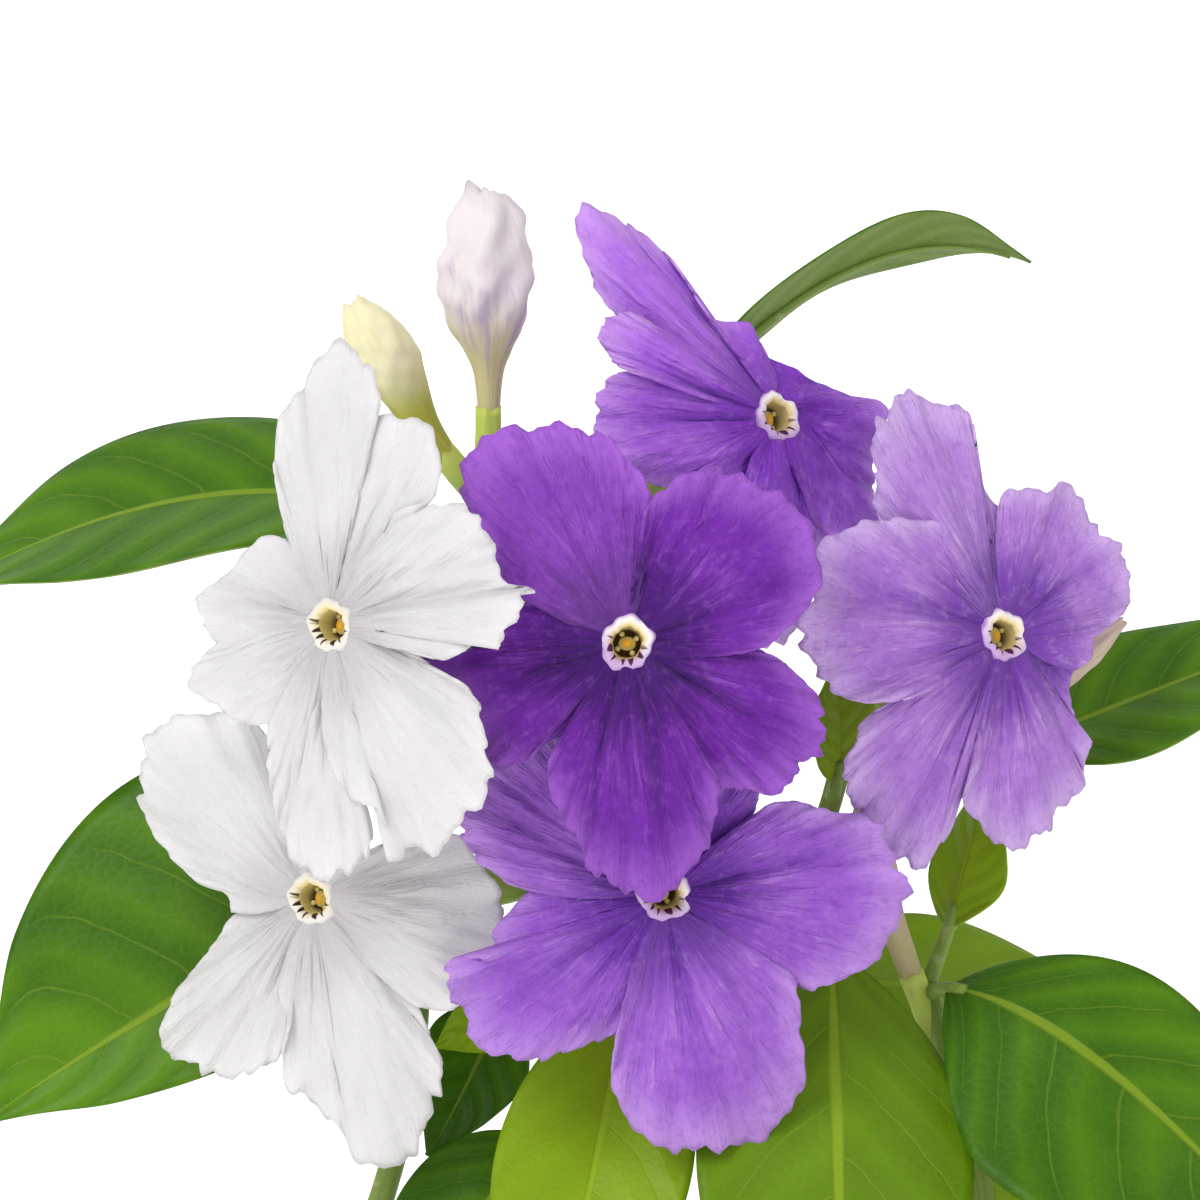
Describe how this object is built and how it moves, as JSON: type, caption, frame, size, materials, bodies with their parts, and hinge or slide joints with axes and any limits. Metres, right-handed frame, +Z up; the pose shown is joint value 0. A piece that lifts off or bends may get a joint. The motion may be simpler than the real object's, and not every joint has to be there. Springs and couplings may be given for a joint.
{
  "type": "potted yesterday-today-and-tomorrow plant",
  "caption": "Flowering shrub in a round clay pot, with flat five-lobed violet, lavender and white blooms with a white eye, furled buds and broad pointed leaves.",
  "frame": {"origin": "centre of the pot's foot, on the surface that it stands on", "axes": "+Z up, the plant's front towards -Y, +X to the viewer's right"},
  "size_m": [0.1925, 0.1451, 0.3508],
  "materials": {
    "pot_clay": "unglazed terracotta, matte, slightly mottled",
    "soil": "dark crumbly potting soil",
    "foliage": "satin green leaves with paler veins, green to brown stems",
    "petal_deep_violet": "soft matte deep violet petals with fine veins, white eye",
    "petal_violet": "soft matte violet petals, paler at the edges, white eye",
    "petal_lavender": "soft matte lavender petals, white eye",
    "petal_white": "soft matte white petals with a faint lavender cast",
    "bud_cream": "cream to yellow-green furled bud",
    "bud_lilac": "pale lilac furled bud on a cream tube",
    "stigma": "yellow stigma and anthers"
  },
  "bodies": {
    "root": {"pot": "pot_clay", "soil": "soil", "leafy_stem_centre": "foliage", "leafy_stem_right": "foliage", "leafy_stem_right_branch": "foliage", "leafy_stem_left": "foliage", "leafy_stem_back": "foliage", "bloom_deep_violet": "petal_deep_violet", "bloom_white_left": "petal_white", "bloom_white_low": "petal_white", "bloom_violet_low": "petal_violet", "bloom_violet_top": "petal_violet", "bloom_lavender": "petal_lavender", "bloom_back_violet": "petal_violet", "bloom_back_lavender": "petal_lavender", "bud_cream": "bud_cream", "bud_lilac": "bud_lilac", "bud_blush": "bud_lilac", "bud_slim": "bud_lilac", "pistil_deep_violet": "stigma", "pistil_white_left": "stigma", "pistil_white_low": "stigma", "pistil_violet_low": "stigma", "pistil_violet_top": "stigma", "pistil_lavender": "stigma", "pistil_back_violet": "stigma", "pistil_back_lavender": "stigma"}
  },
  "joints": []
}
